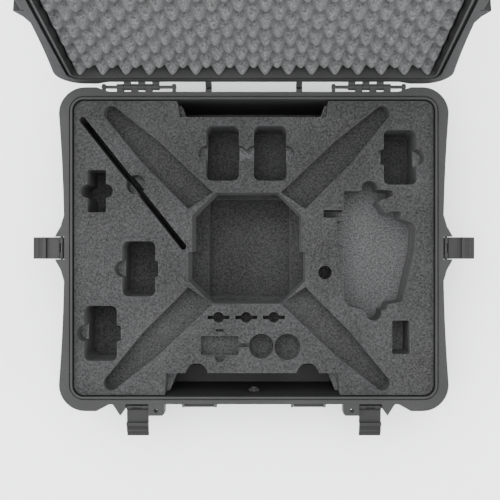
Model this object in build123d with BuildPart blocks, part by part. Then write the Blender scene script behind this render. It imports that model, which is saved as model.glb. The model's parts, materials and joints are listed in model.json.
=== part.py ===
"""Hard carrying case for a 350 mm quadcopter, standing open with its latches down.

Millimetres, +Z up, +X to the right of somebody who stands at the front (-Y) side.
Everything is drawn from the middle of the base and then moved as one, so that the
origin is on the floor under the middle of the open case.  The lid is drawn in a plane of
its own, lid_frame, whose local coordinates are those of the closed case, so the
lid and the base share one set of sizes.
"""
from build123d import *
from math import atan2, cos, degrees, radians, sin, tan
import os

os.makedirs("parts", exist_ok=True)

# ---------------------------------------------------------------- driving dimensions
# Tub of the base: its hollow at the parting plane.
inner_half_x = 274.0
inner_half_y = 224.5
inner_corner_r = 17.0
inner_depth = 124.0
wall = 4.0
floor_thickness = 4.5
wall_draft = 1.5              # degrees, all walls narrow away from the rim
foot_stand = 3.0              # how far the rubber feet lift the shell

# Rim flange of base and lid, seen from above.
rim_side = 13.0               # hollow to the middle of the left and right edges
rim_front = 12.0              # hollow to the middle of the front and back edges
side_bump = 8.0               # how far the corner bumpers stand past those edges
front_bump = 10.5
back_bump = 6.9
rim_corner_r = 40.0
bump_start_length = 76.0      # from a corner to where its edge starts to swell
bump_full_length = 57.0
swell_r = 14.0                # radius where an edge starts to swell
bumper_inset = 7.0            # the bumpers stand this far inside the flange edge
bumper_floor = 16.0           # the base's bumpers end this far above the floor
bumper_lean_in = 3.02         # how far a bumper has drawn in at its foot
flange_thickness = 6.0
base_edge_r = 9.0
band_drop = 26.0              # underside of the band round the tub, below the parting plane
band_height = 4.0
band_reach = 2.5

# Tongue and seal.
tongue_width = 3.0
tongue_height = 4.0
channel_width = 2.4           # drainage channel outside the tongue
channel_depth = 2.5
seal_gap = 1.0                # side room of the tongue in the lid's groove
seal_height = 4.0
seal_clearance = 0.4          # tongue to seal with the lid shut
groove_lip = 3.0              # inner lip of the lid beside the groove

# Lid.
lid_height = 62.0
lid_top = 4.0
lid_draft = 3.0
lid_edge_r = 12.0
lid_rim_height = 13.0         # thick band that holds the groove
lid_rim_reach = 3.0
lid_bumper_short = 16.0       # the lid's bumpers end this far below its top
lid_rib_short = 20.0
open_angle = 102.4
shut_gap = 0.4                # between the flanges with the lid shut

# Hinges.
hinge_out = 7.9               # hinge axis outside the back edge
hinge_drop = 4.5              # hinge axis below the parting plane
pin_r = 2.5
knuckle_r = 4.75
hinge_inner_x = 143.0         # the knuckles run from here
knuckle_length = 10.8
knuckle_count = 6
knuckle_gap = 0.4
pin_inner_x = 118.5           # the rod runs on to an end lug at each side
pin_outer_x = 230.0
lug_thickness = 5.0
running_clearance = 0.05

# Lid stops.
stop_x = 69.0
stop_width = 9.0
stop_reach = 16.0
stop_gap = 0.3
stop_root = 3.0               # how far a lid stop runs on into the lid
stop_slope = 4.0              # height of the slope above a base stop's face
stop_web = 13.0               # web that carries a base stop, from front to back
stop_web_out = 7.0            # middle of the web outside the hollow
lid_stop_thickness = 6.0
lid_stop_relief = 3.0

# Latches.
latch_width = 33.0
latch_side_gap = 0.8
latch_pin_out = 5.5           # pin centre outside the flange edge
latch_pin_drop = 9.0          # pin centre below the parting plane
latch_pin_r = 2.0
latch_hub_r = 4.5
latch_plate = 4.0
latch_reach = 44.0            # pin centre to the finger end
finger_lean = 4.0             # how far the finger end stands off
finger_length = 12.0
finger_tip = 4.0
latch_rib_r = 2.4             # two round ribs for the fingertips
latch_window_x, latch_window_y = 5.5, 13.8
latch_pin_overrun = 7.0       # the pin beyond the latch at each side
latch_bore_overrun = 8.0
hook_height = 23.0            # pin centre to the underside of the hook
hook_thickness = 6.0
hook_reach = 6.0
hook_clearance = 0.8
ledge_root = 9.0              # how far the lid's ledge runs back into the flange
ledge_setback = 1.5           # the ledge ends this far inside the pin centre
ledge_side_gap = 1.5
front_latch_x = 177.0
guard_tip = 14.0              # how far a guard stands out of the flange
guard_length = 34.0
guard_depth = 24.0
lid_guard_height = 24.0
guard_root = 4.0              # how far guards and tabs run back into the flange
guard_nose = 2.5
guard_waist = 0.4             # share of the tip and of the length where a guard bends
guard_bend = 0.45
front_guard_length = 18.0
front_guard_tip = 17.5
front_guard_near = 6.0        # reach beside the latch
front_guard_peak = 8.0        # from the latch's side to the tip
front_guard_far = 2.0
front_guard_foot = 6.0
padlock_aside = 28.5          # hole centre to the middle of its latch
padlock_out = 10.0            # hole centre outside the flange edge
padlock_r = 3.0
padlock_tab_width = 24.0
tab_corner = 3.0
lid_tab_thickness = 9.0

# Handle.
handle_pin_out = 1.0          # pin centre outside the front edge
handle_pin_drop = 16.0
handle_pin_r = 2.5
handle_hub_r = 6.0
handle_inner_x = 61.0
handle_outer_x = 105.0
handle_arm = 18.0
handle_drop = 56.0
handle_bar = 13.0
handle_thickness = 10.0
handle_outer_r, handle_inner_r = 12.0, 8.0
hub_groove_steps = (-16.0, -8.0, 0.0, 8.0, 16.0)
grip_half = 60.0
grip_wall = 3.0
grip_r = 6.0
ear_thickness = 4.0
ear_gap = 0.5
ear_drop = 26.0               # foot of an ear below the pin
ear_nose = (-2.0, 3.0)        # flat front of an ear below and above the pin
groove_size = 2.4

# Pressure valve in the front wall.
valve_drop = 39.5             # valve centre below the parting plane
valve_r = 11.0
valve_stem_r = 6.0
valve_cap_thickness = 4.0
valve_seal = 1.6
valve_seat_gap = 0.35         # the drafted wall leans by this much under the seal
valve_nut_r = 9.5
valve_nut_height = 5.0
valve_stem_overrun = 3.0      # the stem beyond its nut
valve_chamfer = 1.2
vent_r, vent_circle_r, vent_depth, vent_count = 0.9, 6.0, 1.5, 6
gasket_inset = 1.0
gasket_play = 0.2

# Foam.
foam_gap = 0.6
foam_below_rim = 2.0
top_layer = 36.0
grey_layer = 46.0
channel_cut = 26.0            # depth of the arm channels
lid_foam_inset = 3.0
lid_foam_gap = 0.3            # behind the lid foam
top_cuts_x = (-174.5, -85.0, 25.0, 121.0, 182.0)      # where the blocks of a layer meet
top_cuts_y = (-130.0, 0.0, 144.0)
grey_cuts_x = (-174.5, -47.5, 25.0, 182.0)
grey_cuts_y = (0.0,)

# Aircraft pocket, measured from its own centre.
craft_x, craft_y = -10.6, 0.0
craft_half_x, craft_half_y = 89.0, 84.5
craft_corner = 35.0
craft_step = 6.0
craft_step_y = -6.0
belly_half_x, belly_half_y = 65.0, 78.0
belly_depth = 30.0
belly_aside = 3.0
arm_tip = (206.0, 205.0)
arm_tip_r = 11.5
arm_inner = ((51.0, 84.5), (134.0, 163.0), (197.9, 213.1))
arm_outer = ((216.8, 200.6), (158.0, 128.0), (89.0, 59.0))

# Battery pockets.
battery_x, battery_y, battery_r = 50.0, 84.0, 9.0
battery_places = ((-47.5, 144.0), (25.0, 144.0), (222.0, 138.0), (-232.5, -129.5))
plug_battery = (-174.5, -31.5)
scoop_r = 12.3
plug_x, plug_y = 84.0, 98.0
plug_place = (-174.5, -33.0)
plug_gap = 0.4
plug_corner = 0.5

# Controller pocket.
controller_depth = 66.0
controller_outline = (
    (136.0, 87.0), (158.0, 87.0), (186.0, 90.0), (211.0, 87.0), (211.0, 79.0), (188.0, 70.5),
    (201.0, 52.5), (209.5, 56.0), (223.5, 56.0), (223.5, 45.0), (242.0, 38.0), (246.0, 31.0),
    (244.0, -3.0), (227.5, -75.0), (224.0, -82.0), (205.0, -85.0), (201.0, -93.0),
    (193.0, -96.0), (182.0, -98.0), (144.0, -88.0), (136.0, -78.0),
)
controller_corner = 2.0
controller_scoops = ((176.0, 89.5, 13.0), (182.0, -98.0, 12.3))
antenna_slot = (121.0, 52.0, 31.0, 12.0)
wheel_notch = (131.0, 21.5, 12.0, 39.0)

# Small pockets.
charger = (-238.3, 86.5, 28.6, 65.0)
charger_notch_r = 10.5
tablet_ends = ((-259.8, 194.3), (-107.1, 2.1))
tablet_slot = 10.0
tablet_scoop = (-178.9, 96.5, 15.0)
cable_pocket = (223.2, -135.6, 27.0, 51.5)
cable_depth = 66.0
stick_pocket = (108.2, -37.2, 10.5)
stick_depth = 62.0
filter_places = ((-53.6, -105.2), (-11.6, -105.2), (30.5, -105.2))
filter_slot = (33.6, 5.8)
filter_r = 8.3
filter_depth = 30.0
tag_pocket = (-51.9, -148.0, 58.2, 29.8)
tag_depth = 14.0
tag_scoop = (-51.5, -165.3, 8.3)
tag_scoop_depth = 9.0
tag_slit = (-52.0, -125.0, 12.3, 4.2)
clamp_pockets = ((11.2, -149.0, 19.0), (51.0, -150.0, 20.0))
clamp_depth = 24.0
clamp_neck = (-9.0, -147.5, 32.0, 6.5)
pocket_r = 3.0
small_pocket_r = 1.0

# Slots along the back and front walls.
back_slot_width = 26.0        # from the hollow's back wall
front_slot_width = 35.0
slot_overrun = 15.5           # how far a slot's outline runs on past the wall
front_tabs = (-87.0, 82.0)
front_tab_half = 17.0
front_tab_top = 12.0
front_tab_reach = 9.5
front_tab_setback = 2.0       # centre of a tab's scoop behind the slot's edge
back_slot_shoulder = 15.5     # from the back slot's edge to its wider part

# Feet and ribs.
foot_r = 14.0
foot_sunk = 2.0
foot_play = 0.1
foot_chamfer = 1.0
foot_inset_x, foot_inset_y = 42.0, 40.5
rib_width = 6.0
rib_reach = 5.0
rib_floor = 14.0
rib_sunk = 1.0
side_ribs_y = (-160.0, -96.0, 96.0, 160.0)
rib_inset = 39.0              # outermost front and back ribs from the hollow's side
inner_ribs_x = (-128.0, 0.0, 128.0)
lid_bead_inset_x = 69.0
lid_bead_inset_y = 74.5
lid_bead_width = 14.0
lid_bead_height = 3.0
lid_bead_r, lid_bead_inner_r = 30.0, 20.0
lid_bead_draft = 20.0
bead_root = 1.0               # how far the beads start below the lid's top

# ------------------------------------------------------------------- worked-out sizes
shell_bottom = foot_stand
floor_top = shell_bottom + floor_thickness
parting_z = floor_top + inner_depth
hinge_z = parting_z - hinge_drop
waist_half_x = inner_half_x + rim_side
waist_half_y = inner_half_y + rim_front
corner_half_x = waist_half_x + side_bump
front_corner_y = waist_half_y + front_bump
back_corner_y = waist_half_y + back_bump
bump_start_x = corner_half_x - bump_start_length
bump_full_x = corner_half_x - bump_full_length
hinge_y = waist_half_y + hinge_out
handle_pin_y = waist_half_y + handle_pin_out
handle_z = parting_z - handle_pin_drop
valve_z = parting_z - valve_drop
padlock_x = front_latch_x - padlock_aside
foot_x = inner_half_x - foot_inset_x
foot_y = inner_half_y - foot_inset_y
outer_rib_x = inner_half_x - rib_inset
long_ribs_x = (-outer_rib_x,) + inner_ribs_x + (outer_rib_x,)
lid_bead_half_x = inner_half_x - lid_bead_inset_x
lid_bead_half_y = inner_half_y - lid_bead_inset_y
foam_top = parting_z - foam_below_rim
grey_top = foam_top - top_layer
base_top = grey_top - grey_layer
lid_face = parting_z + shut_gap
groove_depth = tongue_height + seal_clearance + seal_height - shut_gap
groove_width = tongue_width + 2 * seal_gap

# Outlines of the slots along the walls.
back_slot_y = inner_half_y - back_slot_width
front_slot_y = front_slot_width - inner_half_y
past_wall_y = inner_half_y + slot_overrun
front_tab_y = front_slot_y + front_tab_reach
back_slot_grey = ((-120.0, past_wall_y), (116.0, past_wall_y), (102.0, back_slot_y),
                  (-103.0, back_slot_y))
back_slot_top = ((-120.0, past_wall_y), (116.0, past_wall_y), (112.0, back_slot_y + back_slot_shoulder),
                 (110.0, back_slot_y), (-112.0, back_slot_y),
                 (-115.0, back_slot_y + back_slot_shoulder))
front_slot_grey = ((-118.6, front_slot_y), (113.4, front_slot_y), (134.0, -past_wall_y),
                   (-138.0, -past_wall_y))
front_slot_top = ((-133.6, front_slot_y), (128.0, front_slot_y), (132.0, -past_wall_y),
                  (-136.0, -past_wall_y))

base_frame = Plane.XY
lean = radians(open_angle)
hinge_point = Vector(0, hinge_y, hinge_z)
lid_up = Vector(0, sin(lean), cos(lean))
lid_back = Vector(0, cos(lean), -sin(lean))
lid_origin = hinge_point - lid_back * hinge_y - lid_up * hinge_z
lid_frame = Plane(origin=lid_origin, x_dir=(1, 0, 0), z_dir=lid_up)


pieces = {}


def keep(piece, label):
    """Name one finished piece."""
    piece.part.label = label
    pieces[label] = piece.part


def keep_blocks(layer, label, bottom, height, cuts_x, cuts_y):
    """Name a foam layer as the blocks between upright planes at the given cuts."""
    edges_x = (-corner_half_x,) + cuts_x + (corner_half_x,)
    edges_y = (-front_corner_y,) + cuts_y + (front_corner_y,)
    for column, (left, right) in enumerate(zip(edges_x, edges_x[1:]), 1):
        for row, (near, far) in enumerate(zip(edges_y, edges_y[1:]), 1):
            with BuildPart() as block:
                with BuildSketch(base_frame.offset(bottom)) as shape:
                    with Locations(((left + right) / 2, (near + far) / 2)):
                        Rectangle(right - left, far - near)
                extrude(shape.sketch, amount=height)
                add(layer.part, mode=Mode.INTERSECT)
            keep(block, f"{label}_{column}_{row}")


def inner_narrowing(z):
    """How much the tub's hollow has narrowed at height z."""
    return (parting_z - z) * tan(radians(wall_draft))


def side_plane(frame, x):
    """A plane across the case at x whose local axes are the case's Y and Z."""
    origin = frame.from_local_coords(Vector(x, 0, 0))
    return Plane(origin=origin, x_dir=frame.y_dir, z_dir=frame.x_dir)


def hinge_section(frame, x):
    """A side plane with its origin on the hinge axis."""
    origin = frame.from_local_coords(Vector(x, hinge_y, hinge_z))
    return Plane(origin=origin, x_dir=frame.y_dir, z_dir=frame.x_dir)


def station(frame, place):
    """Plane on the flange edge at a latch: local X points outwards, Z up."""
    x, y, out_x, out_y = place
    origin = frame.from_local_coords(Vector(x, y, parting_z))
    outwards = frame.x_dir * out_x + frame.y_dir * out_y
    return Plane(origin=origin, x_dir=outwards, z_dir=frame.z_dir)


# Latch places: X, Y on the flange edge, then the outward direction.
latch_places = {
    "front_left": (-front_latch_x, -waist_half_y, 0, -1),
    "front_right": (front_latch_x, -waist_half_y, 0, -1),
    "side_left": (-waist_half_x, 0, -1, 0),
    "side_right": (waist_half_x, 0, 1, 0),
}

# -------------------------------------------------------------------- shared outlines
# Outer edge of the flanges: concave edges between four rounded corner bumpers.
with BuildSketch() as rim:
    with BuildLine():
        back_edge = Polyline(
            (0, waist_half_y), (bump_start_x, waist_half_y), (bump_full_x, back_corner_y),
            (corner_half_x - rim_corner_r, back_corner_y),
        )
        ThreePointArc(
            back_edge @ 1,
            (corner_half_x - rim_corner_r * (1 - sin(radians(45))),
             back_corner_y - rim_corner_r * (1 - sin(radians(45)))),
            (corner_half_x, back_corner_y - rim_corner_r),
        )
        ThreePointArc(
            (corner_half_x, back_corner_y - rim_corner_r), (waist_half_x, 0),
            (corner_half_x, rim_corner_r - front_corner_y),
        )
        ThreePointArc(
            (corner_half_x, rim_corner_r - front_corner_y),
            (corner_half_x - rim_corner_r * (1 - sin(radians(45))),
             rim_corner_r * (1 - sin(radians(45))) - front_corner_y),
            (corner_half_x - rim_corner_r, -front_corner_y),
        )
        Polyline(
            (corner_half_x - rim_corner_r, -front_corner_y), (bump_full_x, -front_corner_y),
            (bump_start_x, -waist_half_y), (0, -waist_half_y),
        )
        mirror(about=Plane.YZ)
    make_face()
    swells = rim.vertices().filter_by(lambda v: abs(abs(v.X) - bump_start_x) < 0.1)
    fillet(swells, radius=swell_r)


def rounded(grow, half_x=inner_half_x, half_y=inner_half_y, corner=inner_corner_r):
    """The hollow's outline grown outwards by grow, inside a sketch."""
    RectangleRounded(2 * (half_x + grow), 2 * (half_y + grow), corner + grow)


def ring(plane, outer, inner, height):
    """A band that follows the hollow, between two offsets, inside a part."""
    with BuildSketch(plane) as shape:
        rounded(outer)
        RectangleRounded(2 * (inner_half_x + inner), 2 * (inner_half_y + inner),
                         inner_corner_r + inner, mode=Mode.SUBTRACT)
    extrude(shape.sketch, amount=height)


def latch_guards(frame, place, bottom, height, tip, length):
    """Two wedges that stand out of the flange beside a latch."""
    near = latch_width / 2 + latch_side_gap
    for side in (-1, 1):
        with BuildSketch(station(frame, place).offset(bottom)) as shape:
            with BuildLine():
                Polyline(
                    (-guard_root, near * side), (tip, near * side),
                    (tip - 1, (near + guard_nose) * side),
                    (tip * guard_waist, (near + length * guard_bend) * side),
                    (0, (near + length) * side), (-guard_root, (near + length) * side),
                    close=True,
                )
            make_face()
        extrude(shape.sketch, amount=height)


def front_guard(frame, place, bottom, height):
    """The outer wedge beside a front latch."""
    near = latch_width / 2 + latch_side_gap
    side = 1 if place[0] > 0 else -1
    with BuildSketch(station(frame, place).offset(bottom)) as shape:
        with BuildLine():
            Polyline(
                (-guard_root, near * side), (front_guard_near, near * side),
                (front_guard_tip, (near + front_guard_peak) * side),
                (front_guard_far, (near + front_guard_length) * side),
                (-guard_root, (near + front_guard_length + front_guard_foot) * side),
                close=True,
            )
        make_face()
    extrude(shape.sketch, amount=height)


def padlock_tab(frame, place, bottom, height):
    """The tab on the inner side of a front latch that a padlock goes through."""
    near = latch_width / 2 + latch_side_gap
    side = 1 if place[0] > 0 else -1
    with BuildSketch(station(frame, place).offset(bottom)) as shape:
        with BuildLine():
            Polyline(
                (-guard_root, -near * side), (front_guard_tip, -near * side),
                (front_guard_tip, -(near + padlock_tab_width - tab_corner) * side),
                (front_guard_tip - tab_corner, -(near + padlock_tab_width) * side),
                (-guard_root, -(near + padlock_tab_width) * side), close=True,
            )
        make_face()
    extrude(shape.sketch, amount=height)


def padlock_hole(frame):
    """Upright hole through both front tabs."""
    for x in (-padlock_x, padlock_x):
        place = (x, -waist_half_y, 0, -1)
        with BuildSketch(station(frame, place).offset(-parting_z)) as shape:
            with Locations((padlock_out, 0)):
                Circle(padlock_r)
        extrude(shape.sketch, amount=2 * parting_z, mode=Mode.SUBTRACT)


def bore_latch_pin(place):
    """Hole for a latch pin through what stands beside the latch."""
    seat = station(base_frame, place)
    middle = seat.from_local_coords(Vector(latch_pin_out, 0, -latch_pin_drop))
    with BuildSketch(Plane(origin=middle, z_dir=seat.y_dir)) as shape:
        Circle(latch_pin_r)
    extrude(shape.sketch, amount=latch_width / 2 + latch_bore_overrun, both=True,
            mode=Mode.SUBTRACT)


def hinge_knuckles(frame, arm, spans):
    """Round knuckles with an arm each, bored for the rod."""
    for start, length in spans:
        for side in (-1, 1):
            x = start if side > 0 else -start - length
            with BuildSketch(hinge_section(frame, x)) as shape:
                Circle(knuckle_r)
                with BuildLine():
                    Polyline(*arm, close=True)
                make_face()
                Circle(pin_r + running_clearance, mode=Mode.SUBTRACT)
            extrude(shape.sketch, amount=length)


pitch = knuckle_length
lid_spans = [(hinge_inner_x + i * pitch + knuckle_gap / 2, pitch - knuckle_gap)
             for i in range(0, knuckle_count, 2)]
base_spans = [(hinge_inner_x + i * pitch + knuckle_gap / 2, pitch - knuckle_gap)
              for i in range(1, knuckle_count, 2)]
base_spans += [(pin_inner_x, lug_thickness), (pin_outer_x - lug_thickness, lug_thickness)]

edge = waist_half_y - hinge_y             # the flange edge seen from the hinge axis
base_arm = ((edge - 1, hinge_drop - 1), (-3, hinge_drop - 1), (0, 0), (-3, -4), (edge - 1, -9))
lid_arm = ((edge - 1, hinge_drop + shut_gap), (edge - 1, hinge_drop + flange_thickness),
           (-2, 8.5), (4.2, 2.2), (0, 0), (-4.4, 1.8), (edge + 1, hinge_drop + shut_gap))

# ------------------------------------------------------------------------- base shell
with BuildPart() as base_shell:
    with BuildSketch(base_frame.offset(parting_z)):
        rounded(wall)
    extrude(amount=shell_bottom - parting_z, taper=wall_draft)
    bottom_edges = base_shell.faces().sort_by(Axis.Z)[0].edges()
    fillet(bottom_edges, radius=base_edge_r)
    # corner bumpers under the flange
    with BuildSketch(base_frame.offset(parting_z)):
        offset(rim.sketch, amount=-bumper_inset)
        Rectangle(2 * bump_start_x, 3 * waist_half_y, mode=Mode.SUBTRACT)
        Rectangle(3 * waist_half_x, 2 * (back_corner_y - rim_corner_r), mode=Mode.SUBTRACT)
    bumper_length = parting_z - bumper_floor
    extrude(amount=-bumper_length, taper=degrees(atan2(bumper_lean_in, bumper_length)))
    # upright ribs
    for x in long_ribs_x:
        for side in (-1, 1):
            if side < 0 and abs(x) < front_latch_x:
                continue
            with BuildSketch(base_frame.offset(rib_floor)):
                with Locations((x, side * (inner_half_y + rib_reach / 2 - rib_sunk))):
                    Rectangle(rib_width, rib_reach + wall)
            extrude(amount=parting_z - rib_floor)
    for y in side_ribs_y:
        for side in (-1, 1):
            with BuildSketch(base_frame.offset(rib_floor)):
                with Locations((side * (inner_half_x + rib_reach / 2 - rib_sunk), y)):
                    Rectangle(rib_reach + wall, rib_width)
            extrude(amount=parting_z - rib_floor)
    # flange and its reinforcing band
    with BuildSketch(base_frame.offset(parting_z - flange_thickness)):
        add(rim.sketch)
    extrude(amount=flange_thickness)
    with BuildSketch(base_frame.offset(parting_z - band_drop)):
        rounded(wall + band_reach)
    extrude(amount=band_height)
    # latch guards, hinge knuckles and lid stops
    for name, place in latch_places.items():
        if name.startswith("side"):
            latch_guards(base_frame, place, -guard_depth, guard_depth, guard_tip, guard_length)
        else:
            front_guard(base_frame, place, -guard_depth, guard_depth)
    hinge_knuckles(base_frame, base_arm, base_spans)
    for x in (-stop_x, stop_x):
        with BuildSketch(hinge_section(base_frame, x - stop_width / 2)):
            with BuildLine():
                Polyline(
                    (edge - 1, -stop_reach), (-stop_gap, -stop_reach), (-stop_gap, -stop_slope),
                    (-stop_slope, hinge_drop - 2), (edge - 1, hinge_drop - 2), close=True,
                )
            make_face()
        extrude(amount=stop_width)
    for x in (-stop_x, stop_x):
        with BuildSketch(base_frame.offset(hinge_z - stop_reach)):
            with Locations((x, inner_half_y + stop_web_out)):
                Rectangle(stop_width, stop_web)
        extrude(amount=stop_reach)
    # ears that hold the handle pins
    for side in (-1, 1):
        for x in (handle_inner_x - ear_gap - ear_thickness, handle_outer_x + ear_gap):
            start = x if side > 0 else -x - ear_thickness
            with BuildSketch(side_plane(base_frame, start)):
                with BuildLine():
                    Polyline(
                        (-inner_half_y - 1, parting_z - 1), (-inner_half_y - 1, handle_z - ear_drop),
                        (-handle_pin_y, handle_z - handle_hub_r - 1),
                        (-handle_pin_y - handle_hub_r, handle_z + ear_nose[0]),
                        (-handle_pin_y - handle_hub_r, handle_z + ear_nose[1]),
                        (-waist_half_y, parting_z - 1), close=True,
                    )
                make_face()
                with Locations((-handle_pin_y, handle_z)):
                    Circle(handle_pin_r, mode=Mode.SUBTRACT)
            extrude(amount=ear_thickness)
    # tongue round the mouth, drainage channel outside it
    ring(base_frame.offset(parting_z), tongue_width, 0, tongue_height)
    with BuildSketch(base_frame.offset(parting_z)):
        rounded(tongue_width + channel_width)
        RectangleRounded(2 * (inner_half_x + tongue_width), 2 * (inner_half_y + tongue_width),
                         inner_corner_r + tongue_width, mode=Mode.SUBTRACT)
    extrude(amount=-channel_depth, mode=Mode.SUBTRACT)
    # the hollow
    with BuildSketch(base_frame.offset(parting_z)):
        rounded(0)
    extrude(amount=-inner_depth, taper=wall_draft, mode=Mode.SUBTRACT)
    with BuildSketch(base_frame.offset(parting_z)):
        rounded(0)
    extrude(amount=tongue_height, mode=Mode.SUBTRACT)
    # bores: latch pins, valve, feet
    for place in latch_places.values():
        bore_latch_pin(place)
    with BuildSketch(Plane(origin=(0, -inner_half_y, valve_z), z_dir=(0, -1, 0))):
        Circle(valve_stem_r)
    extrude(amount=wall * 2, both=True, mode=Mode.SUBTRACT)
    with BuildSketch(base_frame.offset(shell_bottom)):
        with GridLocations(2 * foot_x, 2 * foot_y, 2, 2):
            Circle(foot_r)
    extrude(amount=foot_sunk, mode=Mode.SUBTRACT)
keep(base_shell, "base_shell")

# Padlock tabs of the base, each seated on the flange.
for side in ("left", "right"):
    place = latch_places[f"front_{side}"]
    with BuildPart() as base_tab:
        padlock_tab(base_frame, place, -guard_depth, guard_depth)
        add(base_shell.part, mode=Mode.SUBTRACT)
        bore_latch_pin(place)
        padlock_hole(base_frame)
    keep(base_tab, f"padlock_tab_{side}")

# -------------------------------------------------------------------------- lid shell
with BuildPart() as lid_shell:
    with BuildSketch(lid_frame.offset(lid_face)):
        rounded(wall)
    extrude(amount=lid_height - shut_gap, taper=lid_draft)
    top_edges = lid_shell.faces().filter_by(
        lambda f: abs(f.normal_at().dot(lid_up)) > 0.99).sort_by(
        lambda f: f.center().dot(lid_up))[-1].edges()
    fillet(top_edges, radius=lid_edge_r)
    # raised beads on the top
    with BuildSketch(lid_frame.offset(parting_z + lid_height - bead_root)):
        RectangleRounded(2 * lid_bead_half_x, 2 * lid_bead_half_y, lid_bead_r)
        RectangleRounded(2 * (lid_bead_half_x - lid_bead_width),
                         2 * (lid_bead_half_y - lid_bead_width), lid_bead_inner_r,
                         mode=Mode.SUBTRACT)
        with Locations((-lid_bead_half_x / 2, 0), (0, 0), (lid_bead_half_x / 2, 0)):
            SlotOverall(1.5 * lid_bead_half_y, lid_bead_width, rotation=90)
    extrude(amount=bead_root + lid_bead_height, taper=lid_bead_draft)
    # corner bumpers, groove band and flange
    with BuildSketch(lid_frame.offset(lid_face)):
        offset(rim.sketch, amount=-bumper_inset)
        Rectangle(2 * bump_start_x, 3 * waist_half_y, mode=Mode.SUBTRACT)
        Rectangle(3 * waist_half_x, 2 * (back_corner_y - rim_corner_r), mode=Mode.SUBTRACT)
    extrude(amount=lid_height - lid_bumper_short, taper=lid_draft)
    with BuildSketch(lid_frame.offset(lid_face)):
        rounded(wall + lid_rim_reach)
    extrude(amount=lid_rim_height)
    with BuildSketch(lid_frame.offset(lid_face)):
        add(rim.sketch)
    extrude(amount=flange_thickness)
    for y in side_ribs_y:
        for side in (-1, 1):
            with BuildSketch(lid_frame.offset(lid_face)):
                with Locations((side * (inner_half_x + rib_reach / 2 - rib_sunk), y)):
                    Rectangle(rib_reach + wall, rib_width)
            extrude(amount=lid_height - lid_rib_short)
    # latch ledges, guards, knuckles and stops
    for name, place in latch_places.items():
        ledge_top = hook_height - latch_pin_drop - hook_clearance
        with BuildSketch(station(lid_frame, place).offset(shut_gap)):
            with Locations(((latch_pin_out - ledge_setback - ledge_root) / 2, 0)):
                Rectangle(latch_pin_out - ledge_setback + ledge_root,
                          latch_width - 2 * ledge_side_gap)
        extrude(amount=ledge_top - shut_gap)
        if name.startswith("side"):
            latch_guards(lid_frame, place, shut_gap, lid_guard_height, guard_tip, guard_length)
        else:
            front_guard(lid_frame, place, shut_gap, lid_guard_height)
    hinge_knuckles(lid_frame, lid_arm, lid_spans)
    reach_out = flange_thickness + hinge_drop + shut_gap
    root = (-stop_root * cos(lean), stop_root * sin(lean))
    for x in (-stop_x, stop_x):
        edge_near = (edge * cos(lean) + (hinge_drop + shut_gap) * sin(lean),
                     -edge * sin(lean) + (hinge_drop + shut_gap) * cos(lean))
        edge_far = (edge * cos(lean) + (reach_out - 1) * sin(lean),
                    -edge * sin(lean) + (reach_out - 1) * cos(lean))
        with BuildSketch(hinge_section(base_frame, x - stop_width / 2)):
            with BuildLine():
                Polyline(
                    (0, -stop_reach), (lid_stop_thickness, -stop_reach), edge_far,
                    (edge_far[0] + root[0], edge_far[1] + root[1]),
                    (edge_near[0] + root[0], edge_near[1] + root[1]),
                    edge_near, (0, -lid_stop_relief), close=True,
                )
            make_face()
        extrude(amount=stop_width)
    # hollow and groove
    with BuildSketch(lid_frame.offset(lid_face)):
        rounded(-seal_gap - groove_lip)
    extrude(amount=lid_height - lid_top - shut_gap, taper=lid_draft, mode=Mode.SUBTRACT)
    with BuildSketch(lid_frame.offset(lid_face)):
        rounded(groove_width - seal_gap)
        RectangleRounded(2 * (inner_half_x - seal_gap), 2 * (inner_half_y - seal_gap),
                         inner_corner_r - seal_gap, mode=Mode.SUBTRACT)
    extrude(amount=groove_depth, mode=Mode.SUBTRACT)
keep(lid_shell, "lid_shell")

# Padlock tabs of the lid, seated on its flange so that they meet the base's tabs.
with BuildPart() as lid_tabs:
    for side in ("left", "right"):
        padlock_tab(lid_frame, latch_places[f"front_{side}"], shut_gap, lid_tab_thickness)
    add(lid_shell.part, mode=Mode.SUBTRACT)
    padlock_hole(lid_frame)
keep(lid_tabs, "lid_padlock_tabs")

# -------------------------------------------------------------------------- lid gasket
with BuildPart() as lid_gasket:
    seal_bottom = parting_z + tongue_height + seal_clearance
    with BuildSketch(lid_frame.offset(seal_bottom)):
        rounded(groove_width - seal_gap)
        RectangleRounded(2 * (inner_half_x - seal_gap), 2 * (inner_half_y - seal_gap),
                         inner_corner_r - seal_gap, mode=Mode.SUBTRACT)
    extrude(amount=seal_height)
keep(lid_gasket, "lid_gasket")

# -------------------------------------------------------------------------- hinge pins
for side, name in ((-1, "left"), (1, "right")):
    start = pin_inner_x - 1 if side > 0 else -pin_outer_x - 1
    with BuildPart() as hinge_pin:
        with BuildSketch(hinge_section(base_frame, start)):
            Circle(pin_r)
        extrude(amount=pin_outer_x - pin_inner_x + 2)
        chamfer(hinge_pin.edges().filter_by(GeomType.CIRCLE), length=0.5)
    keep(hinge_pin, f"hinge_pin_{name}")

# ---------------------------------------------------------------- latches and their pins
def latch_section(place):
    """Section plane of an open latch: local X down, local Y outwards."""
    frame = station(base_frame, place)
    origin = frame.from_local_coords(Vector(latch_pin_out, 0, -latch_pin_drop))
    down = frame.z_dir * -1
    return Plane(origin=origin, x_dir=down, z_dir=down.cross(frame.x_dir))


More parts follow.
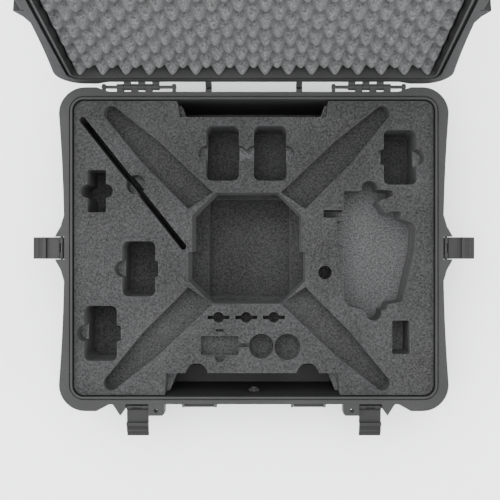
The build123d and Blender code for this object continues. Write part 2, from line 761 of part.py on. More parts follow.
for name, place in latch_places.items():
    section = latch_section(place)
    with BuildPart() as latch:
        with BuildSketch(section):
            Circle(latch_hub_r)
            with BuildLine():
                Polyline(
                    (latch_hub_r, 0), (latch_hub_r, latch_reach - finger_length),
                    (latch_hub_r + finger_lean, latch_reach),
                    (latch_hub_r + finger_lean - finger_tip, latch_reach),
                    (latch_hub_r - latch_plate, latch_reach - 9),
                    (latch_hub_r - latch_plate - 2, hook_height + hook_thickness),
                    (-hook_reach, hook_height + hook_thickness - 1), (-hook_reach, hook_height),
                    (latch_hub_r - latch_plate, hook_height), (latch_hub_r - latch_plate, 0),
                    close=True,
                )
            make_face()
            with Locations((latch_hub_r - 2.5, latch_reach - 7.5), (latch_hub_r + 1, latch_reach - 1.6)):
                Circle(latch_rib_r)
            Circle(latch_pin_r + running_clearance, mode=Mode.SUBTRACT)
        extrude(amount=latch_width / 2, both=True)
        # window in the hub where the pin shows
        window = Plane(origin=section.origin, x_dir=section.y_dir, z_dir=section.x_dir * -1)
        with BuildSketch(window):
            Rectangle(latch_window_x, latch_window_y)
        extrude(amount=latch_hub_r + 1, mode=Mode.SUBTRACT)
    keep(latch, f"latch_{name}")

    with BuildPart() as latch_pin:
        with BuildSketch(section):
            Circle(latch_pin_r)
        extrude(amount=latch_width / 2 + latch_pin_overrun, both=True)
    keep(latch_pin, f"latch_pin_{name}")

# ------------------------------------------------------------------------------ handle
hub_middle = (handle_inner_x + handle_outer_x) / 2
hub_grooves = [side * (hub_middle + step) for side in (-1, 1) for step in hub_groove_steps]
with BuildPart() as handle_frame:
    for side in (-1, 1):
        start = handle_inner_x if side > 0 else -handle_outer_x
        with BuildSketch(Plane(origin=(start, -handle_pin_y, handle_z), x_dir=(0, 1, 0),
                               z_dir=(1, 0, 0))):
            Circle(handle_hub_r)
        extrude(amount=handle_outer_x - handle_inner_x)
    with BuildSketch(Plane(origin=(0, -handle_pin_y, handle_z), x_dir=(1, 0, 0),
                           z_dir=(0, -1, 0))):
        outer_height = handle_drop + handle_bar / 2
        with Locations((0, -outer_height / 2)):
            RectangleRounded(2 * handle_outer_x, outer_height, handle_outer_r)
        with Locations((0, -(handle_drop - handle_bar) / 2)):
            RectangleRounded(2 * (handle_outer_x - handle_arm), handle_drop, handle_inner_r,
                             mode=Mode.SUBTRACT)
        for side in (-1, 1):
            with Locations((side * hub_middle, -handle_hub_r)):
                Rectangle(handle_outer_x - handle_inner_x, 2 * handle_hub_r)
    extrude(amount=handle_thickness / 2, both=True)
    with BuildSketch(Plane(origin=(0, -handle_pin_y, handle_z), z_dir=(1, 0, 0))):
        Circle(handle_pin_r + running_clearance)
    extrude(amount=handle_outer_x + 1, both=True, mode=Mode.SUBTRACT)
    # grooves round the hubs
    for x in hub_grooves:
        with BuildSketch(Plane(origin=(x - groove_size / 2, -handle_pin_y, handle_z),
                               z_dir=(1, 0, 0))):
            Circle(handle_hub_r + 1)
            Circle(handle_hub_r - groove_size / 2, mode=Mode.SUBTRACT)
            Rectangle(3 * handle_hub_r, 3 * handle_hub_r, align=(Align.MIN, Align.CENTER),
                      mode=Mode.SUBTRACT)
        extrude(amount=groove_size, mode=Mode.SUBTRACT)
keep(handle_frame, "handle_frame")

with BuildPart() as handle_grip:
    bar_z = handle_z - handle_drop
    bar_section = Plane(origin=(-grip_half, -handle_pin_y, bar_z), x_dir=(0, 1, 0),
                        z_dir=(1, 0, 0))
    with BuildSketch(bar_section):
        RectangleRounded(handle_thickness + 2 * grip_wall, handle_bar + 2 * grip_wall, grip_r)
        Rectangle(handle_thickness, handle_bar, mode=Mode.SUBTRACT)
    extrude(amount=2 * grip_half)
keep(handle_grip, "handle_grip")

with BuildPart() as handle_pins:
    for side in (-1, 1):
        start = (handle_inner_x - ear_thickness if side > 0
                 else -handle_outer_x - ear_thickness)
        with BuildSketch(Plane(origin=(start, -handle_pin_y, handle_z), z_dir=(1, 0, 0))):
            Circle(handle_pin_r)
        extrude(amount=handle_outer_x - handle_inner_x + 2 * ear_thickness)
keep(handle_pins, "handle_pins")

# ---------------------------------------------------------------------- pressure valve
valve_wall = inner_half_y - inner_narrowing(valve_z)
valve_face = Plane(origin=(0, -(valve_wall + wall), valve_z), z_dir=(0, -1, 0))
with BuildPart() as valve_body:
    with BuildSketch(valve_face.offset(valve_seal)):
        Circle(valve_r)
    extrude(amount=valve_cap_thickness)
    chamfer(valve_body.edges().filter_by(GeomType.CIRCLE).sort_by(Axis.Y)[0], length=valve_chamfer)
    with BuildSketch(valve_face.offset(valve_seal)):
        Circle(valve_stem_r - running_clearance)
    extrude(amount=-(wall + valve_seal + valve_nut_height + valve_stem_overrun))
    with BuildSketch(valve_face.offset(valve_seal + valve_cap_thickness)):
        with PolarLocations(vent_circle_r, vent_count):
            Circle(vent_r)
    extrude(amount=-vent_depth, mode=Mode.SUBTRACT)
keep(valve_body, "valve_body")

with BuildPart() as valve_gasket:
    with BuildSketch(valve_face.offset(valve_seat_gap)):
        Circle(valve_r - gasket_inset)
        Circle(valve_stem_r + gasket_play, mode=Mode.SUBTRACT)
    extrude(amount=valve_seal - valve_seat_gap)
keep(valve_gasket, "valve_gasket")

with BuildPart() as valve_nut:
    with BuildSketch(valve_face.offset(-wall - valve_seat_gap)):
        RegularPolygon(valve_nut_r, 6)
        Circle(valve_stem_r, mode=Mode.SUBTRACT)
    extrude(amount=-valve_nut_height)
keep(valve_nut, "valve_nut")

# --------------------------------------------------------------------------- rubber feet
with BuildPart() as rubber_feet:
    with BuildSketch(base_frame):
        with GridLocations(2 * foot_x, 2 * foot_y, 2, 2):
            Circle(foot_r - foot_play)
    extrude(amount=foot_stand + foot_sunk)
    chamfer(rubber_feet.edges().group_by(Axis.Z)[0], length=foot_chamfer)
keep(rubber_feet, "rubber_feet")


# ---------------------------------------------------------------------------------- foam
def foam_block(top, height):
    """A slab that fills the drafted tub between two heights."""
    shrink = foam_gap + inner_narrowing(top - height)
    with BuildSketch(base_frame.offset(top)) as shape:
        rounded(-shrink)
    extrude(shape.sketch, amount=-height)


def cut_outline(points, top, depth, soften=0.0):
    """Cut a straight-sided pocket."""
    with BuildSketch(base_frame.offset(top)) as shape:
        with BuildLine():
            Polyline(*points, close=True)
        make_face()
        if soften:
            fillet(shape.vertices(), radius=soften)
    extrude(shape.sketch, amount=-depth, mode=Mode.SUBTRACT)


def cut_rectangle(size, top, depth, corner=pocket_r):
    """Cut a rounded rectangle given as centre and sides."""
    x, y, width, length = size
    with BuildSketch(base_frame.offset(top)) as shape:
        with Locations((x, y)):
            RectangleRounded(width, length, min(corner, width / 2.1, length / 2.1))
    extrude(shape.sketch, amount=-depth, mode=Mode.SUBTRACT)


def cut_circles(places, top, depth):
    """Cut round pockets given as centre and radius."""
    with BuildSketch(base_frame.offset(top)) as shape:
        for x, y, r in places:
            with Locations((x, y)):
                Circle(r)
    extrude(shape.sketch, amount=-depth, mode=Mode.SUBTRACT)


def cut_body(top, depth):
    """Cut the aircraft's body: a stepped square with its corners cut off."""
    back = craft_half_y
    out = craft_half_x - craft_step
    cut_outline(
        [(craft_x + x, craft_y + y) for x, y in (
            (-out + craft_corner, back), (out - craft_corner, back), (out, back - craft_corner),
            (out, craft_step_y), (craft_half_x, craft_step_y), (craft_half_x, craft_corner - back),
            (craft_half_x - craft_corner, -back), (craft_corner - craft_half_x, -back),
            (-craft_half_x, craft_corner - back), (-craft_half_x, craft_step_y),
            (-out, craft_step_y), (-out, back - craft_corner),
        )], top, depth)


def cut_tablet(top, depth):
    """Cut the slanted slot that a tablet stands in."""
    start, end = Vector(*tablet_ends[0]), Vector(*tablet_ends[1])
    with BuildSketch(base_frame.offset(top)) as shape:
        with BuildLine():
            Line(start, end)
        trace(line_width=tablet_slot)
        with Locations(start, end):
            Circle(tablet_slot / 2)
    extrude(shape.sketch, amount=-depth, mode=Mode.SUBTRACT)


def cut_controller(top, depth):
    """Cut the controller's pocket with its scoops, antenna slot and wheel notch."""
    cut_outline(controller_outline, top, depth, soften=controller_corner)
    cut_circles(controller_scoops, top, depth)
    cut_rectangle(antenna_slot, top, depth)
    cut_rectangle(wheel_notch, top, depth)


def cut_deep_pockets(top, depth):
    """The pockets that run through the top and the grey layer alike."""
    for x, y in battery_places:
        cut_rectangle((x, y, battery_x, battery_y), top, depth, battery_r)
    cut_rectangle(charger, top, depth)
    x, y, width, _ = charger
    cut_circles([(x + s * width / 2, y, charger_notch_r) for s in (-1, 1)], top, depth)
    cut_tablet(top, depth)
    cut_body(top, depth)


with BuildPart() as foam_top_layer:
    foam_block(foam_top, top_layer)
    cut_deep_pockets(foam_top, top_layer)
    cut_controller(foam_top, top_layer)
    cut_circles([(x + s * battery_x / 2, y, scoop_r) for x, y in battery_places for s in (-1, 1)],
                foam_top, top_layer)
    cut_circles([tablet_scoop, stick_pocket], foam_top, top_layer)
    cut_rectangle(cable_pocket, foam_top, top_layer)
    cut_rectangle((*plug_place, plug_x + 2 * plug_gap, plug_y + 2 * plug_gap),
                  foam_top, top_layer, corner=plug_corner)
    # arm channels that end in a round scoop
    for sx in (-1, 1):
        for sy in (-1, 1):
            cut_outline([(craft_x + sx * x, craft_y + sy * y)
                         for x, y in arm_inner + (arm_tip,) + arm_outer], foam_top, channel_cut)
            cut_circles([(craft_x + sx * arm_tip[0], craft_y + sy * arm_tip[1], arm_tip_r)],
                        foam_top, channel_cut)
    # filters, tag and clamp
    for x, y in filter_places:
        cut_rectangle((x, y, *filter_slot), foam_top, filter_depth, corner=small_pocket_r)
        cut_circles([(x, y, filter_r)], foam_top, filter_depth)
    cut_rectangle(tag_pocket, foam_top, tag_depth)
    cut_circles([tag_scoop], foam_top, tag_scoop_depth)
    cut_rectangle(tag_slit, foam_top, tag_scoop_depth, corner=small_pocket_r)
    cut_circles(clamp_pockets, foam_top, clamp_depth)
    cut_rectangle(clamp_neck, foam_top, tag_depth, corner=small_pocket_r)
    # slots along the walls
    cut_outline(back_slot_top, foam_top, top_layer)
    cut_outline(front_slot_top, foam_top, top_layer)
    cut_circles([(x, front_slot_y - front_tab_setback, front_tab_half) for x in front_tabs],
                foam_top, top_layer)
keep_blocks(foam_top_layer, "foam_top", grey_top, top_layer, top_cuts_x, top_cuts_y)

with BuildPart() as foam_plug:
    with BuildSketch(base_frame.offset(foam_top)):
        with Locations(plug_place):
            Rectangle(plug_x, plug_y)
    extrude(amount=-top_layer)
    cut_rectangle((*plug_battery, battery_x, battery_y), foam_top, top_layer, battery_r)
    cut_circles([(plug_battery[0] + s * battery_x / 2, plug_battery[1], scoop_r) for s in (-1, 1)],
                foam_top, top_layer)
keep(foam_plug, "foam_plug")

with BuildPart() as foam_grey_layer:
    foam_block(grey_top, grey_layer)
    cut_deep_pockets(grey_top, grey_layer)
    cut_rectangle((*plug_battery, battery_x, battery_y), grey_top, grey_layer, battery_r)
    cut_controller(grey_top, controller_depth - top_layer)
    cut_circles([stick_pocket], grey_top, stick_depth - top_layer)
    cut_rectangle(cable_pocket, grey_top, cable_depth - top_layer)
    cut_outline(back_slot_grey, grey_top, grey_layer)
    cut_outline(front_slot_grey, grey_top, grey_layer)
    for x in front_tabs:
        cut_outline(((x - front_tab_half, front_slot_y - 1), (x - front_tab_top, front_tab_y),
                     (x + front_tab_top, front_tab_y), (x + front_tab_half, front_slot_y - 1)),
                    grey_top, grey_layer)
keep_blocks(foam_grey_layer, "foam_grey", base_top, grey_layer, grey_cuts_x, grey_cuts_y)

with BuildPart() as foam_base_layer:
    foam_block(base_top, base_top - floor_top)
    cut_rectangle((craft_x + belly_aside, craft_y, 2 * belly_half_x, 2 * belly_half_y),
                  base_top, belly_depth)
    cut_outline(back_slot_grey, base_top, base_top - floor_top)
    cut_outline(front_slot_grey, base_top, base_top - floor_top)
keep(foam_base_layer, "foam_base_layer")

# ------------------------------------------------------------------------- lid foam
with BuildPart() as lid_foam:
    foam_face = parting_z + lid_foam_inset
    foam_height = lid_height - lid_top - lid_foam_inset - lid_foam_gap
    foam_shrink = foam_gap + foam_height * tan(radians(lid_draft))
    with BuildSketch(lid_frame.offset(foam_face)):
        rounded(-seal_gap - groove_lip - foam_shrink)
    extrude(amount=foam_height)
keep(lid_foam, "lid_foam")

# ------------------------------------------------------- place the open case and write
front_end = min(piece.bounding_box().min.Y for piece in pieces.values())
back_end = max(piece.bounding_box().max.Y for piece in pieces.values())
middle_y = (front_end + back_end) / 2
print("middle of the open case in Y:", round(middle_y, 4))
for label, piece in pieces.items():
    export_step(piece.moved(Location((0, -middle_y, 0))), f"parts/{label}.step")
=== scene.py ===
# %% [markdown]
# A hard carrying case that stands open, seen from straight above. The shells, latches, rods
# and handle come from the CAD model as they are. Everything soft, which is the cut foam in the
# base and the egg-crate foam in the lid, is made here. The first step loads the CAD model as a
# fixed frame.

# %% Load the frame
import json
import math
import re

import bpy
import numpy as np
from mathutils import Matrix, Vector


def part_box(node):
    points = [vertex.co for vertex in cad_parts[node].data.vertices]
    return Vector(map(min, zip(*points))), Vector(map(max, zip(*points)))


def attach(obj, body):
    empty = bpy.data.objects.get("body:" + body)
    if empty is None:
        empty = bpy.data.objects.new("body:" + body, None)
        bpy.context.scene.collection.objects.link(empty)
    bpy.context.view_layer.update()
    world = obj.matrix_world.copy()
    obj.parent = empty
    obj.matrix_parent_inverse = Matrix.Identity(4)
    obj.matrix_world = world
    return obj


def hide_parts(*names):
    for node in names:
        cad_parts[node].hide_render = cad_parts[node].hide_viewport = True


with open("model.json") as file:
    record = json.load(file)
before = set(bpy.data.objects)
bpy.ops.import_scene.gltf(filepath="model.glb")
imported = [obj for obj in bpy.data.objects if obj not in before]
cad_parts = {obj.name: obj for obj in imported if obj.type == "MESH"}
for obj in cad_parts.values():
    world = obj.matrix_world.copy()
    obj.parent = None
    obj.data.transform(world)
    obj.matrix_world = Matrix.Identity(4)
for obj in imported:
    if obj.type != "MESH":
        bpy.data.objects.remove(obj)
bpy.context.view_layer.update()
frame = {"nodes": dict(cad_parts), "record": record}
record = frame["record"]

# %% [markdown]
# Places are read from the model, so nothing has to be fitted by eye. The four feet are set
# evenly round the base, so the mean of their mounts is the middle of the base. The lid turns
# about the hinge joint, and its own directions follow from the angle that it is open.

# %% Places of the base and the lid
mounts = {m["name"]: np.array(m["pos_m"]) for m in record["mounts"]}
base_middle = np.mean([p for name, p in mounts.items() if name.startswith("foot_")], axis=0)
lid_joint = [j for j in record["behaviour"]["joints"] if j["name"] == "lid_hinge"][0]
hinge = np.array(lid_joint["pos_m"])
lean = math.radians(lid_joint["range_deg"][1])
lid_up = np.array([0.0, math.sin(lean), math.cos(lean)])
lid_back = np.array([0.0, math.cos(lean), -math.sin(lean)])


def in_lid(points):
    """Closed-case places (x, y from the base's middle, z) turned about the hinge to the open lid."""
    y = points[..., 1:2] + base_middle[1] - hinge[1]
    z = points[..., 2:3] - hinge[2]
    return np.array([1.0, 0.0, 0.0]) * points[..., 0:1] + [0, hinge[1], hinge[2]] + y * lid_back + z * lid_up


print("middle of the base:", base_middle.round(4), "lid open by", round(math.degrees(lean), 1))

# %% [markdown]
# Materials are node trees, and the same few links come up again and again. These helpers make
# a node, set its sockets by name and join it to others. Patterns read Object coordinates, in
# metres, because every piece sits at the origin unturned, so a pattern keeps its real size.

# %% Node helpers
def node(tree, kind, values=(), **settings):
    """A new node with its settings, and its input sockets set from name to value or to a link."""
    made = tree.nodes.new(kind)
    for key, value in settings.items():
        setattr(made, key, value)
    for key, value in dict(values).items():
        if isinstance(value, bpy.types.NodeSocket):
            tree.links.new(value, made.inputs[key])
        else:
            made.inputs[key].default_value = value
    return made


def maths(tree, operation, a, b=0.0, c=0.0, clamp=False):
    """One sum as a Math node, given as its output socket."""
    return node(tree, "ShaderNodeMath", {0: a, 1: b, 2: c}, operation=operation, use_clamp=clamp).outputs[0]


def blend_colours(tree, factor, a, b):
    """The colour a where the factor is 0 and b where it is 1."""
    mixer = node(tree, "ShaderNodeMix", data_type="RGBA")
    for index, value in ((0, factor), (6, a), (7, b)):
        if isinstance(value, bpy.types.NodeSocket):
            tree.links.new(value, mixer.inputs[index])
        else:
            mixer.inputs[index].default_value = value
    return mixer.outputs[2]


def new_group(name, inputs, outputs):
    """An empty node group with named input values and named outputs, and its two end nodes."""
    group = bpy.data.node_groups.new(name, "ShaderNodeTree")
    for label, kind, value in inputs:
        socket = group.interface.new_socket(label, in_out="INPUT", socket_type=kind)
        if value is not None:
            socket.default_value = value
    for label, kind in outputs:
        group.interface.new_socket(label, in_out="OUTPUT", socket_type=kind)
    return group, group.nodes.new("NodeGroupInput"), group.nodes.new("NodeGroupOutput")


# %% [markdown]
# Corners of moulded plastic and of cut foam are never quite sharp, and they catch the light.
# One way is to bevel each mesh, but these hold hundreds of small arcs. Instead the Bevel node
# rounds the normal near an edge. How far it turns from the true normal tells how close the
# edge is, which gives an edge mask: worn edges on the hard pieces, a painted highlight on foam
# edges. Every hard and foam material uses this group.

# %% Edge group
FLOAT, VECTOR = "NodeSocketFloat", "NodeSocketVector"
edge_group, g_in, g_out = new_group(
    "Rounded edge", [("Radius", FLOAT, 0.0008), ("Strength", FLOAT, 3.0)],
    [("Edge", FLOAT), ("Normal", VECTOR)])
rounded = node(edge_group, "ShaderNodeBevel", {"Radius": g_in.outputs["Radius"]}, samples=6)
true_normal = node(edge_group, "ShaderNodeNewGeometry")
agreement = node(edge_group, "ShaderNodeVectorMath", operation="DOT_PRODUCT")
edge_group.links.new(rounded.outputs[0], agreement.inputs[0])
edge_group.links.new(true_normal.outputs["Normal"], agreement.inputs[1])
turned = maths(edge_group, "SUBTRACT", 1.0, agreement.outputs["Value"])
edge_group.links.new(maths(edge_group, "MULTIPLY", turned, g_in.outputs["Strength"], clamp=True),
                     g_out.inputs["Edge"])
edge_group.links.new(rounded.outputs[0], g_out.inputs["Normal"])
print("group:", edge_group.name)

# %% [markdown]
# Handling leaves a little pale dust on a dark case. It shows in soft patches, so it is large
# noise with finer noise inside it, kept faint. The group gives a mask only.

# %% Dust group
dust_group, g_in, g_out = new_group("Light dust", [("Amount", FLOAT, 0.3)], [("Dust", FLOAT)])
place = node(dust_group, "ShaderNodeTexCoord").outputs["Object"]
patches = node(dust_group, "ShaderNodeTexNoise", {"Vector": place, "Scale": 9.0, "Detail": 4.0})
specks = node(dust_group, "ShaderNodeTexNoise", {"Vector": place, "Scale": 420.0, "Detail": 2.0})
both = maths(dust_group, "MULTIPLY", patches.outputs["Fac"], specks.outputs["Fac"])
lifted = node(dust_group, "ShaderNodeMapRange", {"Value": both, "From Min": 0.2, "From Max": 0.45})
dust_group.links.new(maths(dust_group, "MULTIPLY", lifted.outputs[0], g_in.outputs["Amount"], clamp=True),
                     g_out.inputs["Dust"])
print("group:", dust_group.name)

# %% [markdown]
# Polyethylene foam is a mass of closed cells about a millimetre across. Sliced cells are tiny
# cups, so the surface is speckled light and dark. A Voronoi pattern gives the cups and noise
# breaks up their regularity. The group puts out the speckle and a height for the bump.

# %% Foam cell group
cell_group, g_in, g_out = new_group(
    "Foam cells", [("Cells per metre", FLOAT, 800.0)], [("Speckle", FLOAT), ("Height", FLOAT)])
place = node(cell_group, "ShaderNodeTexCoord").outputs["Object"]
cups = node(cell_group, "ShaderNodeTexVoronoi", {"Vector": place, "Scale": g_in.outputs["Cells per metre"]})
coarse = node(cell_group, "ShaderNodeTexNoise",
              {"Vector": place, "Scale": 330.0, "Detail": 5.0, "Roughness": 0.7})
speckle = node(cell_group, "ShaderNodeMapRange",
               {"Value": coarse.outputs["Fac"], "From Min": 0.38, "From Max": 0.68})
cell_group.links.new(speckle.outputs[0], g_out.inputs["Speckle"])
cell_group.links.new(maths(cell_group, "MULTIPLY_ADD", cups.outputs["Distance"], 0.5, coarse.outputs["Fac"]),
                     g_out.inputs["Height"])
print("group:", cell_group.name)

# %% [markdown]
# A group can also carry the grain of a moulded surface, the fine pebbling that a mould leaves
# so that scratches don't show. The same group with a finer grain serves rubber and latches.

# %% Moulded grain group
grain_group, g_in, g_out = new_group(
    "Moulded grain", [("Grains per metre", FLOAT, 900.0)], [("Grain", FLOAT), ("Shade", FLOAT)])
place = node(grain_group, "ShaderNodeTexCoord").outputs["Object"]
pebbles = node(grain_group, "ShaderNodeTexVoronoi",
               {"Vector": place, "Scale": g_in.outputs["Grains per metre"], "Smoothness": 0.6},
               feature="SMOOTH_F1")
flow = node(grain_group, "ShaderNodeTexNoise", {"Vector": place, "Scale": 14.0, "Detail": 3.0})
grain_group.links.new(pebbles.outputs["Distance"], g_out.inputs["Grain"])
grain_group.links.new(flow.outputs["Fac"], g_out.inputs["Shade"])
print("group:", grain_group.name)

# %% [markdown]
# A hard material mixes its own colour with a lighter one at the edges and a dusty one in
# patches. Roughness varies slowly, as on real mouldings. One function makes them all, because
# shell, latch, rubber and steel differ in numbers only.

# %% Hard materials
def use_group(tree, group, **values):
    """A group placed in a material, with its own values."""
    return node(tree, "ShaderNodeGroup", {k.replace("_", " "): v for k, v in values.items()}, node_tree=group)


def grey(value):
    """A very slightly cool neutral colour."""
    return (value, value * 1.01, value * 1.03, 1.0)


def hard_material(name, body, edge, grains, bump, rough, metallic=0.0, dust=0.25, radius=0.0008):
    """Body colour, lighter at edges, dusty in patches, with moulded grain as bump."""
    material = bpy.data.materials.new(name)
    material.use_nodes = True
    tree = material.node_tree
    shader = tree.nodes["Principled BSDF"]
    edges = use_group(tree, edge_group, Radius=radius, Strength=3.0)
    grain = use_group(tree, grain_group, Grains_per_metre=grains)
    dirt = use_group(tree, dust_group, Amount=dust)
    varied = blend_colours(tree, grain.outputs["Shade"], grey(body * 0.85), grey(body * 1.15))
    edged = blend_colours(tree, maths(tree, "MULTIPLY", edges.outputs["Edge"], 0.6), varied, grey(edge))
    dusted = blend_colours(tree, dirt.outputs["Dust"], edged, grey(edge * 1.2))
    roughness = maths(tree, "MULTIPLY_ADD", grain.outputs["Shade"], 0.16, rough - 0.08)
    relief = node(tree, "ShaderNodeBump", {"Height": grain.outputs["Grain"], "Distance": bump,
                                           "Strength": 0.6, "Normal": edges.outputs["Normal"]})
    tree.links.new(dusted, shader.inputs["Base Color"])
    tree.links.new(roughness, shader.inputs["Roughness"])
    tree.links.new(relief.outputs[0], shader.inputs["Normal"])
    shader.inputs["Metallic"].default_value = metallic
    shader.inputs["Specular IOR Level"].default_value = 0.18
    return material


hard = {
    "shell": hard_material("Moulded shell", 0.017, 0.042, 1100.0, 0.00012, 0.55),
    "latch": hard_material("Latch plastic", 0.010, 0.034, 1600.0, 0.00006, 0.45),
    "rod": hard_material("Blackened steel", 0.035, 0.09, 2400.0, 0.00002, 0.38, metallic=1.0, dust=0.1),
    "seal": hard_material("Seal rubber", 0.010, 0.025, 1800.0, 0.00005, 0.78, dust=0.15),
    "grip": hard_material("Grip rubber", 0.012, 0.035, 1400.0, 0.00012, 0.68),
}
print("hard materials:", sorted(hard))

# %% [markdown]
# Foam looks different on its skin and where a knife or a jet has cut it. Cut walls stand
# upright, so the piece's own normal tells them apart. They are painted lighter and smoother than
# the skin, partly the paler tone of cut foam and partly painted light on the upright walls.
# Every cut edge also shows a thin pale line, which is a painted highlight.

# %% Foam materials
def foam_material(name, skin, wall, edge, cells=800.0, bump=0.0006):
    """Speckled skin, upright walls painted lighter (painted light, partly paler cut foam) and a painted
    highlight as a pale line along each cut edge.
    """
    material = bpy.data.materials.new(name)
    material.use_nodes = True
    tree = material.node_tree
    shader = tree.nodes["Principled BSDF"]
    upright = node(tree, "ShaderNodeSeparateXYZ", {0: node(tree, "ShaderNodeTexCoord").outputs["Normal"]})
    flat = maths(tree, "ABSOLUTE", upright.outputs["Z"])
    # Upright walls take the lighter wall colour: painted light on the walls, partly the paler tone of cut
    # foam.
    wall_light_and_cut_tone = node(tree, "ShaderNodeMapRange", {"Value": flat, "From Min": 0.75, "From Max": 0.3})
    foam = use_group(tree, cell_group, Cells_per_metre=cells)
    edges = use_group(tree, edge_group, Radius=0.0011, Strength=2.6)
    dirt = use_group(tree, dust_group, Amount=0.2)
    skin_colour = blend_colours(tree, foam.outputs["Speckle"], grey(skin * 0.45), grey(skin * 1.55))
    wall_colour = blend_colours(tree, foam.outputs["Speckle"], grey(wall * 0.8), grey(wall * 1.2))
    body = blend_colours(tree, wall_light_and_cut_tone.outputs[0], skin_colour, wall_colour)
    # A pale line along every edge: a painted highlight.
    edged = blend_colours(tree, maths(tree, "MULTIPLY", edges.outputs["Edge"], 0.7), body, grey(edge))
    dusted = blend_colours(tree, dirt.outputs["Dust"], edged, grey(edge))
    relief = node(tree, "ShaderNodeBump", {"Height": foam.outputs["Height"], "Distance": bump,
                                           "Strength": 0.8, "Normal": edges.outputs["Normal"]})
    roughness = maths(tree, "MULTIPLY_ADD", foam.outputs["Speckle"], 0.1, 0.84)
    tree.links.new(dusted, shader.inputs["Base Color"])
    tree.links.new(roughness, shader.inputs["Roughness"])
    tree.links.new(relief.outputs[0], shader.inputs["Normal"])
    shader.inputs["Specular IOR Level"].default_value = 0.08
    return material


# Per foam: skin, wall and edge values. The wall value is painted light on upright walls, and the edge value
# is a painted highlight that is also the dust colour.
foam_dark = foam_material("Charcoal foam", 0.026, 0.055, 0.10)
foam_grey = foam_material("Grey foam", 0.065, 0.070, 0.13)
foam_lid = foam_material("Egg-crate foam", 0.085, 0.085, 0.12, cells=600.0)
print("foam materials:", foam_dark.name, foam_grey.name, foam_lid.name)

# %% [markdown]
# The hard pieces keep their CAD shape. Each takes the material of its slot in the record, so
# nothing has to be named twice.

# %% Give the hard pieces their materials
slot_of = {s["node"]: s["material_slot"] for s in record["subparts"]}
dressed = 0
for name, obj in frame["nodes"].items():
    if slot_of[name] in hard:
        obj.data.materials.clear()
        obj.data.materials.append(hard[slot_of[name]])
        dressed += 1
print("hard pieces dressed:", dressed)

# %% [markdown]
# The foam in the base is three sheets with pockets cut through them. In the CAD model the two
# upper sheets are written as blocks, so the meeting faces between blocks have to go. A block's
# neighbours meet it on a plane, so every triangle that lies wholly in such a plane is dropped.
# What is left is joined by merging points that fall in the same place.

# %% Join blocks into one sheet
WELD = 2e-5          # metres; corners nearer than this are one point


def triangles_of(obj):
    """A mesh's corner places, one row of three points for each triangle."""
    mesh = obj.data
    mesh.calc_loop_triangles()
    places = np.empty(len(mesh.vertices) * 3)
    mesh.vertices.foreach_get("co", places)
    corners = np.empty(len(mesh.loop_triangles) * 3, dtype=np.int32)
    mesh.loop_triangles.foreach_get("vertices", corners)
    return places.reshape(-1, 3)[corners].reshape(-1, 3, 3)


def meeting_planes(names, axis):
    """Where columns (axis 0) or rows (axis 1) of blocks meet: the lowest side of each but the first."""
    sides = {}
    for name in names:
        number = int(re.findall(r"\d+", name)[axis])
        sides.setdefault(number, []).append(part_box(name)[0][axis])
    return [min(sides[n]) for n in sorted(sides)[1:]]


def mesh_piece(name, places, faces, material, smooth_angle=40.0):
    """An object at the origin from arrays of places and faces, smooth up to an angle."""
    mesh = bpy.data.meshes.new(name)
    mesh.from_pydata(places.tolist(), [], faces.tolist())
    mesh.materials.append(material)
    mesh.polygons.foreach_set("use_smooth", np.ones(len(mesh.polygons), dtype=bool))
    mesh.update()
    mesh.set_sharp_from_angle(angle=math.radians(smooth_angle))
    obj = bpy.data.objects.new(name, mesh)
    bpy.context.scene.collection.objects.link(obj)
    return obj


def foam_sheet(name, nodes, material):
    """One closed sheet from the blocks: drop triangles in meeting planes, then merge equal places."""
    soup = np.concatenate([triangles_of(frame["nodes"][n]) for n in nodes])
    keep = np.ones(len(soup), dtype=bool)
    if len(nodes) > 1:
        for axis in (0, 1):
            for plane in meeting_planes(nodes, axis):
                keep &= ~(np.abs(soup[:, :, axis] - plane) < WELD).all(axis=1)
    soup = soup[keep]
    steps = np.round(soup.reshape(-1, 3) / WELD).astype(np.int64)
    spots, index = np.unique(steps, axis=0, return_inverse=True)
    faces = index.reshape(-1, 3)
    whole = (faces[:, 0] != faces[:, 1]) & (faces[:, 1] != faces[:, 2]) & (faces[:, 0] != faces[:, 2])
    piece = mesh_piece(name, spots * WELD, faces[whole], material)
    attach(piece, "base")
    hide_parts(*nodes)
    print(name, "from", len(nodes), "blocks,", int((~keep).sum()), "meeting faces out,", len(spots), "points")


top_blocks = sorted(n for n in frame["nodes"] if n.startswith("foam_top"))
grey_blocks = sorted(n for n in frame["nodes"] if n.startswith("foam_grey"))
foam_sheet("top_foam_sheet", top_blocks, foam_dark)
foam_sheet("grey_foam_sheet", grey_blocks, foam_grey)
foam_sheet("base_foam_sheet", ["foam_base_layer"], foam_dark)
foam_sheet("press_in_foam_block", ["foam_plug"], foam_dark)

# %% [markdown]
# The lid holds egg-crate foam. It is cut by a wavy knife that leaves two matching halves, so
# its face is a smooth field of rounded peaks in staggered rows. A product of two cosines gives
# exactly that. The rest of the pad is a plain slab with rounded corners, so the whole piece is
# a wavy face, a straight skirt and a flat back.

# %% Egg-crate surface
peak_pitch, row_pitch, wave_depth = 0.0345, 0.0240, 0.0200
pad_corner = 0.0095


def round_corners(x, y, half_x, half_y, radius):
    """Places of a rectangle pulled in so its corners are arcs: inside each corner square the
    offset from the arc's centre is scaled by its larger part over its length."""
    past_x, past_y = np.abs(x) - (half_x - radius), np.abs(y) - (half_y - radius)
    corner = (past_x > 0) & (past_y > 0)
    length = np.where(corner, np.hypot(past_x, past_y), 1.0)
    scale = np.where(corner, np.maximum(past_x, past_y) / length, 1.0)
    new_x = np.where(corner, half_x - radius + past_x * scale, np.abs(x))
    new_y = np.where(corner, half_y - radius + past_y * scale, np.abs(y))
    return np.sign(x) * new_x, np.sign(y) * new_y


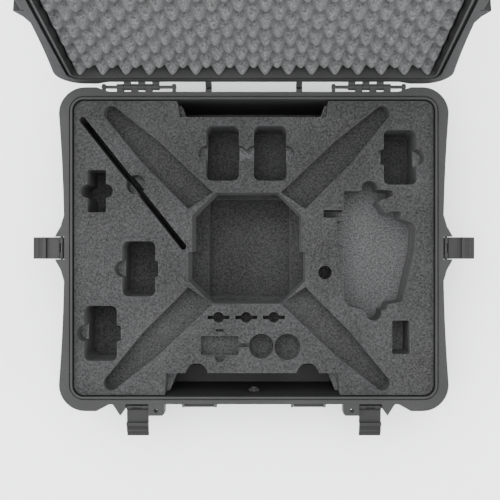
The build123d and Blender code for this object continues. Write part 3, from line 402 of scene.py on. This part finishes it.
def egg_crate_height(x, y):
    """Depth below the peaks: half the wave depth times one less cos(2 pi x/p) cos(pi y/q)."""
    wave = np.cos(2 * math.pi * x / peak_pitch) * np.cos(math.pi * y / row_pitch)
    return wave_depth / 2 * (1 - wave)


# %% Build the lid foam
def lid_local_box(name):
    """A lid node's box in closed-case places, found by turning its points back about the hinge."""
    points = triangles_of(frame["nodes"][name]).reshape(-1, 3) - [0, hinge[1], hinge[2]]
    local = np.stack([points[:, 0], points @ lid_back + hinge[1] - base_middle[1],
                      points @ lid_up + hinge[2]], axis=1)
    return local.min(axis=0), local.max(axis=0)


low, high = lid_local_box("lid_foam")
half_x, half_y = (high - low)[:2] / 2
centre_y = (high + low)[1] / 2
columns, rows = 214, 176
u, v = np.meshgrid(np.linspace(-half_x, half_x, columns), np.linspace(-half_y, half_y, rows), indexing="ij")
x, y = round_corners(u, v, half_x, half_y, pad_corner)
face = np.stack([x, y + centre_y, low[2] + egg_crate_height(x, y)], axis=-1).reshape(-1, 3)
back = np.stack([x, y + centre_y, np.full_like(x, high[2])], axis=-1).reshape(-1, 3)
grid = np.arange(columns * rows).reshape(columns, rows)
a, b, c, d = grid[:-1, :-1], grid[1:, :-1], grid[1:, 1:], grid[:-1, 1:]
front_faces = np.stack([a, d, c, b], axis=-1).reshape(-1, 4)
back_faces = np.stack([a, b, c, d], axis=-1).reshape(-1, 4) + columns * rows
rim = np.concatenate([grid[:, 0], grid[-1, 1:], grid[-2::-1, -1], grid[0, -2:0:-1]])
after = np.roll(rim, -1)
skirt = np.stack([rim, after, after + columns * rows, rim + columns * rows], axis=-1)
lid_pad = mesh_piece("egg_crate_foam", in_lid(np.concatenate([face, back])),
                     np.concatenate([front_faces, back_faces, skirt]), foam_lid, smooth_angle=60.0)
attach(lid_pad, "lid")
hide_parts("lid_foam")
print("egg-crate foam:", len(lid_pad.data.polygons), "faces, half size", half_x.round(4), half_y.round(4))

# %% [markdown]
# The case stands on a plain pale floor under soft light. One large panel hangs above and a
# weaker one stands at each side, so that walls inside the pockets still get some light.

# %% Floor and light
def plain_material(name, value):
    """A matt pale material with a faint mottle, for the floor."""
    material = bpy.data.materials.new(name)
    material.use_nodes = True
    tree = material.node_tree
    mottle = node(tree, "ShaderNodeTexNoise",
                  {"Vector": node(tree, "ShaderNodeTexCoord").outputs["Object"], "Scale": 3.0})
    colour = blend_colours(tree, mottle.outputs["Fac"], grey(value * 0.99), grey(value))
    tree.links.new(colour, tree.nodes["Principled BSDF"].inputs["Base Color"])
    tree.nodes["Principled BSDF"].inputs["Roughness"].default_value = 0.9
    return material


reach = 6.0
corners = np.array([[-reach, -reach, 0], [reach, -reach, 0], [reach, reach, 0], [-reach, reach, 0.0]])
floor = mesh_piece("pale_floor", corners, np.array([[0, 1, 2, 3]]), plain_material("Pale floor", 0.9))


def panel(name, place, size, watts):
    """A square area light aimed at the case."""
    data = bpy.data.lights.new(name, "AREA")
    data.size, data.energy = size, watts
    light = bpy.data.objects.new(name, data)
    light.location = place
    direction = Vector((0.0, 0.0, 0.1)) - Vector(place)
    light.rotation_mode = "QUATERNION"
    light.rotation_quaternion = direction.to_track_quat("-Z", "Y")
    bpy.context.scene.collection.objects.link(light)


panel("overhead_panel", place=(-0.3, 0.5, 2.6), size=2.4, watts=140)
panel("left_panel", place=(-2.2, -0.8, 1.6), size=1.5, watts=45)
panel("right_panel", place=(2.2, -0.8, 1.6), size=1.5, watts=45)
world = bpy.data.worlds.new("Soft room")
bpy.context.scene.world = world
world.use_nodes = True
world.node_tree.nodes["Background"].inputs["Color"].default_value = (1.0, 1.0, 1.0, 1.0)
world.node_tree.nodes["Background"].inputs["Strength"].default_value = 2.0
print("lights set")

# %% [markdown]
# The camera hangs above the case and looks straight down, with the hinges at the top. It is a
# little to the right of the middle, and a small shift of the lens brings the case back into
# the frame without tilting it.

# %% Camera
lens = bpy.data.cameras.new("Overhead")
lens.lens, lens.sensor_width = 60.9, 36.0
lens.shift_x = -0.024
camera = bpy.data.objects.new("Overhead", lens)
camera.location = (0.0124, base_middle[1] - 0.003, 1.4115)
bpy.context.scene.collection.objects.link(camera)
bpy.context.scene.camera = camera
print("camera at", tuple(round(c, 4) for c in camera.location))
